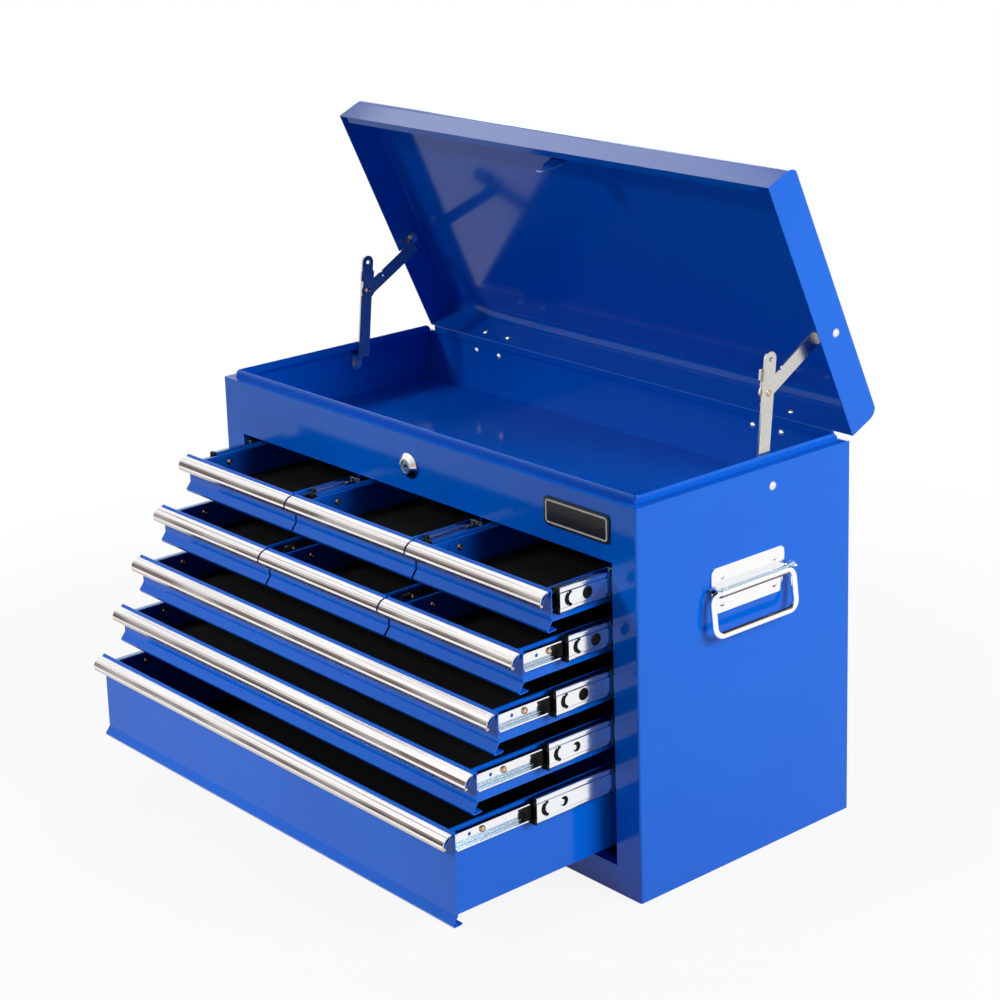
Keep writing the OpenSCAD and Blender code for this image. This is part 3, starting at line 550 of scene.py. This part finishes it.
def collar(shape, side, way, front, middle_z):
    """Closes the rail's front: an outline in front of it and a cheek at each of its beads."""
    outline = [(front - PLAY + y, middle_z + z) for y, z in COLLAR_OUTLINE]
    plate(shape, outline, side + way * COLLAR_FROM, side + way * (WEB_OUT - PLAY))
    for up in (-1, 1):
        block(shape, (side + way * CHEEK_X[0], front - COLLAR_L, middle_z + up * CHEEK_Z[0]),
              (side + way * CHEEK_X[1], front - PLAY, middle_z + up * CHEEK_Z[1]), CHEEK_EDGE)


def tongue(shape, side, way, front, middle_z):
    """A bar behind the rail's web."""
    block(shape, (side + way * TONGUE_X[0], front + TONGUE_Y[0], middle_z - TONGUE_HALF_H),
          (side + way * TONGUE_X[1], front + TONGUE_Y[1], middle_z + TONGUE_HALF_H), TONGUE_EDGE)


print("collar", 1000 * COLLAR_L, "mm long")

# %% Release levers
LEVER_Y = 0.012
LEVER_FINGER = {"outer": 0.0052, "inner": 0.0032, "reach": 0.8}
LEVER_RIM = {"outer": 0.0068, "inner": 0.0036, "reach": 1.05}
FINGER_FROM = WEB_IN - 0.0008
FINGER_T = 0.0021
RIM_FROM = WEB_OUT + 0.00005
RIM_T = 0.0003
EAR_Y = (-0.0022, 0.0008)
EAR_Z = (0.0046, 0.0068)
CRESCENT_STEPS = 14


def crescent(shape, start, depth, middle, outer, inner, reach):
    """A bent bar in the plane of the rail's web: a flat strip that follows a circle."""
    strip = bmesh.ops.create_grid(shape, x_segments=CRESCENT_STEPS, y_segments=1, size=1.0)
    corners = strip["verts"]
    for corner in corners:
        angle = corner.co.x * reach
        radius = outer if corner.co.y > 0 else inner
        corner.co = (start, middle[0] - radius * math.cos(angle), middle[1] + radius * math.sin(angle))
    thicken(shape, list({face for corner in corners for face in corner.link_faces}), depth)


def lever(shape, side, way, front, middle_z):
    """A finger that comes out through the slot, and a thin rim with two ears on the web."""
    middle = (front + LEVER_Y, middle_z)
    crescent(shape, side + way * FINGER_FROM, way * FINGER_T, middle, **LEVER_FINGER)
    crescent(shape, side + way * RIM_FROM, way * RIM_T, middle, **LEVER_RIM)
    for up in (-1, 1):
        block(shape, (side + way * RIM_FROM, middle[0] + EAR_Y[0], middle_z + up * EAR_Z[0]),
              (side + way * (RIM_FROM + RIM_T), middle[0] + EAR_Y[1], middle_z + up * EAR_Z[1]))


for number in DRAWERS:
    sides, front, middle_z = slides(number)
    shape = bmesh.new()
    for side, way in sides:
        for part in (collar, tongue, lever):
            part(shape, side, way, front, middle_z)
    piece(f"slide_collars_{number}", shape, f"mid_rails_{number}", plastic)
print("made collars, tongues and levers for", len(DRAWERS), "drawers")

# %% [markdown]
# ## Stops in the runners
# A stop of the same plastic lies in the drawer's runner in front of the collar. It is an
# outline that is extruded, as the collar is, and its front moves to suit each drawer: it
# stays behind the runner's end, and behind the first screw where the collar is behind it. A
# drawer whose slides leave too little room there shows no stop.

# %% Stops
STOP_L = 0.0095
STOP_SHORTEST = 0.004
STOP_CLEAR = 0.0003
STOP_X = (0.0014, 0.0066)
STOP_HALF_H = 0.0063
STOP_REAR = [(0, -STOP_HALF_H), (0, STOP_HALF_H)]
STOP_FRONT = [(0, STOP_HALF_H), (0.0016, 0.0036)]
STOP_NOTCH = [(0, 0.0012), (0.0014, -0.0022), (0, -STOP_HALF_H)]
NOTCH_FROM_FRONT = 0.35
BEHIND_RUNNER_END = 0.001
SCREW_PLACES = (0.032, 0.190)
SCREW_ROOM = 0.0035


def stop_outline(front, rear, middle_z):
    """A hook: its rear edge, then its front edge from the top, then the notch under that."""
    notch = front + NOTCH_FROM_FRONT * (rear - front)
    edges = ((rear, STOP_REAR), (front, STOP_FRONT), (notch, STOP_NOTCH))
    return [(at + y, middle_z + z) for at, points in edges for y, z in points]


stopped = []
for number in DRAWERS:
    sides, rail_front, middle_z = slides(number)
    runner_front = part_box(f"drawer_{number}_runners")[0][1]
    rear = rail_front - COLLAR_L - STOP_CLEAR
    front = max(rear - STOP_L, runner_front + BEHIND_RUNNER_END)
    behind_screw = runner_front + SCREW_PLACES[0] + SCREW_ROOM
    if rear > behind_screw:
        front = max(front, behind_screw)
    if rear - front >= STOP_SHORTEST:
        shape = bmesh.new()
        for side, way in sides:
            plate(shape, stop_outline(front, rear, middle_z), side + way * STOP_X[0],
                  side + way * STOP_X[1])
        piece(f"slide_stops_{number}", shape, f"drawer_{number}", plastic)
        stopped.append(number)
print("made stops for drawers", stopped)

# %% [markdown]
# ## Details at the rails' holes
# On the upper slides a black grommet lines the round hole. On the two lowest drawers the hole
# shows a bright button instead. Both are turned: a profile of a few points is spun.

# %% Grommets and buttons
HOLE_Y = 0.031
GROMMET = [(0.0040, 0.00005), (0.0040, 0.0003), (0.0046, 0.0004), (0.0054, 0.0003),
           (0.0056, 0.00005)]
BUTTON = [(0.0030, 0), (0.0029, 0.0005), (0.0022, 0.0009), (0.0010, 0.0011), (0.0, 0.0011)]
BUTTON_FORWARD = 0.0013
BUTTON_DOWN = 0.0008
BUTTON_DRAWERS = (8, 9)

for number in DRAWERS:
    sides, front, middle_z = slides(number)
    hole_y = front + HOLE_Y
    shape = bmesh.new()
    for side, way in sides:
        if number in BUTTON_DRAWERS:
            at = (side + way * WEB_IN, hole_y - BUTTON_FORWARD, middle_z - BUTTON_DOWN)
            turned(shape, BUTTON, at, way)
        else:
            turned(shape, GROMMET, (side + way * WEB_OUT, hole_y, middle_z), way)
    bright = number in BUTTON_DRAWERS
    finish, slot = (fastener_zinc, "bright_fasteners") if bright else (plastic, "black_plate")
    piece(f"slide_holes_{number}", shape, f"mid_rails_{number}", finish, smooth=True)
print("made buttons for drawers", BUTTON_DRAWERS, "and grommets for the others")

# %% [markdown]
# ## Screw heads
# Yellow zinc screws hold the runners to the drawers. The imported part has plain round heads,
# so each gets a head with a raised rim and a cross recess. The recess is cut by pushing four
# arms of the inner ring down, which a real punch does in the same way.

# %% Screw heads on the runners and inside the drawers
RUNNER_FACE = 0.0012
HEAD_OUT = [(0.0031, 0.0), (0.0031, 0.0008), (0.0026, 0.0015), (0.0018, 0.0018), (0.0010, 0.0018),
            (0.0, 0.0006)]
HEAD_IN = [(0.0031, 0.0), (0.0031, 0.0006), (0.0026, 0.0012), (0.0018, 0.0015), (0.0010, 0.0015),
           (0.0, 0.0005)]
RECESS_R = 0.0017
RECESS_ARM = 0.0003
RECESS_D = 0.0004


def screw_head(shape, profile, at, way):
    """A turned head whose top is pushed in along two crossed grooves."""
    before = set(shape.verts)
    turned(shape, profile, at, way)
    for corner in set(shape.verts) - before:
        y, z = corner.co.y - at[1], corner.co.z - at[2]
        if math.hypot(y, z) < RECESS_R and min(abs(y), abs(z)) < RECESS_ARM:
            corner.co.x -= way * RECESS_D


for number in DRAWERS:
    low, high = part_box(f"drawer_{number}_runners")
    middle_z = (low[2] + high[2]) / 2
    shape = bmesh.new()
    for side, way in slides(number)[0]:
        for place in SCREW_PLACES:
            y = low[1] + place
            screw_head(shape, HEAD_OUT, (side + way * RUNNER_FACE, y, middle_z), way)
            screw_head(shape, HEAD_IN, (side - way * SHEET, y, middle_z), -way)
    piece(f"drawer_screws_{number}", shape, f"drawer_{number}", yellow_zinc)
print("made screw heads for", len(DRAWERS), "drawers")

# %% [markdown]
# ## Rivets at the stays' elbows
# The two bars of a stay turn on a hollow rivet. Its rolled edge stands as a ring with a dent
# in the middle, on the outer face of the lower bar and on the inner face of the upper bar.
# Each half rides on its own bar, so neither is left behind when the stay folds.

# %% Elbow rivets
ELBOW = (0.04151, 0.42105)
LOWER_FACE = 0.287
UPPER_FACE = 0.2827
RING_LOW = [(0.0031, 0.0), (0.0030, 0.0006), (0.0024, 0.0009), (0.0016, 0.0008), (0.0010, 0.0004),
            (0.0, 0.0003)]
RING_HIGH = [(0.0031, 0.0), (0.0031, 0.0011), (0.0025, 0.0017), (0.0016, 0.0016), (0.0010, 0.0011),
             (0.0, 0.0010)]

for side, way in (("left", -1), ("right", 1)):
    for bar, ring, face, out in (("lower", RING_LOW, LOWER_FACE, way),
                                 ("upper", RING_HIGH, UPPER_FACE, -way)):
        shape = bmesh.new()
        turned(shape, ring, (way * face, *ELBOW), out)
        piece(f"elbow_rivet_{bar}_{side}", shape, f"stay_{bar}_{side}", yellow_zinc,
              smooth=True)
print("made four elbow rivets")

# %% [markdown]
# ## Nameplate border
# The blank plate has a thin pale line printed near its edge. It is a ring that is cut out of a
# rounded rectangle: a face is inset, the middle is deleted and what is left gets a thickness.

# %% Border
BORDER_W = 0.0016
BORDER_T = 0.0003
BORDER_IN = 0.0022
BORDER_CORNER = 0.0033
CORNER_SEGMENTS = 6

low, high = (Vector(corner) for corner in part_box("nameplate"))
width, height = high.x - low.x - 2 * BORDER_IN, high.z - low.z - 2 * BORDER_IN
middle = Vector(((low.x + high.x) / 2, low.y - BORDER_T, (low.z + high.z) / 2))
upright = Matrix.Translation(middle) @ Matrix.Rotation(math.pi / 2, 4, "X")
shape = bmesh.new()
made = bmesh.ops.create_grid(shape, x_segments=1, y_segments=1, size=0.5,
                             matrix=upright @ Matrix.Diagonal((width, height, 1, 1)))
bmesh.ops.bevel(shape, geom=made["verts"], offset=BORDER_CORNER, offset_type="OFFSET",
                segments=CORNER_SEGMENTS, profile=0.5, affect="VERTICES", material=-1)
ring = bmesh.ops.inset_region(shape, faces=shape.faces[:], thickness=BORDER_W, use_boundary=True,
                              use_even_offset=True)["faces"]
inside = [face for face in shape.faces if face not in ring]
bmesh.ops.delete(shape, geom=inside, context="FACES")
bmesh.ops.solidify(shape, geom=shape.faces[:], thickness=BORDER_T)
piece("nameplate_border", shape, "cabinet", printed_silver)
print("border", round(1000 * width), "by", round(1000 * height), "mm")

# %% [markdown]
# ## Camera
# The camera stands in front of the chest, to its right and above it. Its place and its turns
# were fitted to the straight edges of the real chest, so the picture's perspective is the
# same. The picture was cropped after it was taken, so the lens is shifted downwards by the
# same share.

# %% Camera
CAMERA_AT = Vector((1.6331, -1.4149, 0.9908))
YAW, PITCH, ROLL = (math.radians(turn) for turn in (49.475, 14.124, -1.725))
PICTURE_PX = 1000
LENS_PX = 2346.5
CROP_SHIFT = -0.1812
SENSOR_MM = 36.0

look = Vector((-math.sin(YAW) * math.cos(PITCH), math.cos(YAW) * math.cos(PITCH), -math.sin(PITCH)))
level_right = Vector((math.cos(YAW), math.sin(YAW), 0))
level_up = level_right.cross(look)
picture_right = math.cos(ROLL) * level_right + math.sin(ROLL) * level_up
picture_up = math.cos(ROLL) * level_up - math.sin(ROLL) * level_right
turn = Matrix((picture_right, picture_up, -look)).transposed().to_4x4()

camera = bpy.data.objects.new("camera", bpy.data.cameras.new("camera"))
camera.data.lens = LENS_PX * SENSOR_MM / PICTURE_PX
camera.data.sensor_width = SENSOR_MM
camera.data.shift_y = CROP_SHIFT
camera.matrix_world = Matrix.Translation(CAMERA_AT) @ turn
bpy.context.scene.collection.objects.link(camera)
bpy.context.scene.camera = camera
print("lens", round(camera.data.lens, 2), "mm")

# %% [markdown]
# ## Studio
# The chest stands on a plain pale floor in a white room. The world is white for the camera and
# for reflections, and dim for the light that it sends, so that cavities stay dark and colours
# stay as they were written. The floor does the same, and keeps the chest's soft shadow: near
# the chest a part of it is lit by the lamps, and further off it fades into the white room.

# %% World
WORLD_LIGHT = 0.1

world = bpy.data.worlds.new("studio")
bpy.context.scene.world = world
world.use_nodes = True
background = world.node_tree.nodes["Background"]
room = Nodes(world.node_tree)
room.plug(background.inputs["Color"], (1, 1, 1, 1))
room.plug(background.inputs["Strength"], WORLD_LIGHT + (1 - WORLD_LIGHT) * room.seen_directly())
print("world light", WORLD_LIGHT)

# %% Floor
FLOOR_SIZE = 40.0
FLOOR_Z = -0.0005
FLOOR_LIGHT = (0.68, 0.68, 0.68, 1)
FLOOR_DARK = (0.66, 0.66, 0.66, 1)
NEAR_GLOW = 0.895
GLOW_FROM = 0.45
GLOW_OVER = 0.6


def studio_floor():
    finish = Finish("studio_floor", Roughness=0.9, Specular_IOR_Level=0.1)
    finish.wear(Base_Color=finish.blend(finish.noise(40.0, 2.0), FLOOR_LIGHT, FLOOR_DARK))
    away = finish.node("ShaderNodeVectorMath", {"operation": "LENGTH"}, {0: finish.place()}, "Value")
    far = finish.maths("MULTIPLY", away - GLOW_FROM, 1 / GLOW_OVER, clamp=True)
    share = finish.seen_directly() * (NEAR_GLOW + (1 - NEAR_GLOW) * far)
    lit = Value(finish, finish.shader.outputs["BSDF"])
    glowing = finish.node("ShaderNodeEmission", {}, {"Color": (1, 1, 1, 1), "Strength": 1.0})
    mixed = finish.node("ShaderNodeMixShader", {}, {0: share, 1: lit, 2: glowing})
    finish.plug(finish.tree.nodes["Material Output"].inputs["Surface"], mixed)
    return finish.material


shape = bmesh.new()
bmesh.ops.create_grid(shape, x_segments=1, y_segments=1, size=FLOOR_SIZE / 2,
                      matrix=Matrix.Translation((0, 0, FLOOR_Z)))
floor = bpy.data.objects.new("floor", bpy.data.meshes.new("floor"))
shape.to_mesh(floor.data)
shape.free()
floor.data.materials.append(studio_floor())
bpy.context.scene.collection.objects.link(floor)
print("floor", FLOOR_SIZE, "m")

# %% [markdown]
# ## Lamps
# A big soft lamp on the right, a little behind the chest, lights its side and leaves the
# front to a second lamp at the left, so that the open drawers shade the frame beside them.
# The front lamp has a grid, which keeps its light low, so that the inside of the lid stays
# deep. A third lamp, up at the left, draws the bright sheen on the lid's edge and the pulls,
# and a fourth, behind the chest, lights its back.

# %% Lamps
# Each lamp: where it is, what it is aimed at, its width, its watts and its spread in degrees
LAMPS = {
    "side_right": ((2.4, 0.55, 1.5), (0.3, 0, 0.25), 1.2, 66, 180),
    "front_left": ((-1.1, -2.45, 1.75), (0, -0.25, 0.0), 0.6, 2.0, 28),
    "lid_sheen": ((-1.35, 0.4, 1.85), (0, 0.1, 0.6), 0.8, 4.4, 180),
    "back": ((-1.6, 2.0, 1.6), (0, 0, 0.3), 1.4, 24, 180),
}

for name, (at, aim, width, watts, spread) in LAMPS.items():
    lamp = bpy.data.objects.new(name, bpy.data.lights.new(name, "AREA"))
    lamp.data.shape = "SQUARE"
    lamp.data.size = width
    lamp.data.energy = watts
    lamp.data.spread = math.radians(spread)
    lamp.location = at
    lamp.rotation_euler = (Vector(aim) - Vector(at)).to_track_quat("-Z", "Y").to_euler()
    lamp.visible_camera = False
    bpy.context.scene.collection.objects.link(lamp)
print("lamps:", ", ".join(LAMPS))

# %% [markdown]
# ## Colours as written
# The Standard view shows each colour as it is, with no film look on top.

# %% Finish
bpy.context.scene.view_settings.view_transform = "Standard"
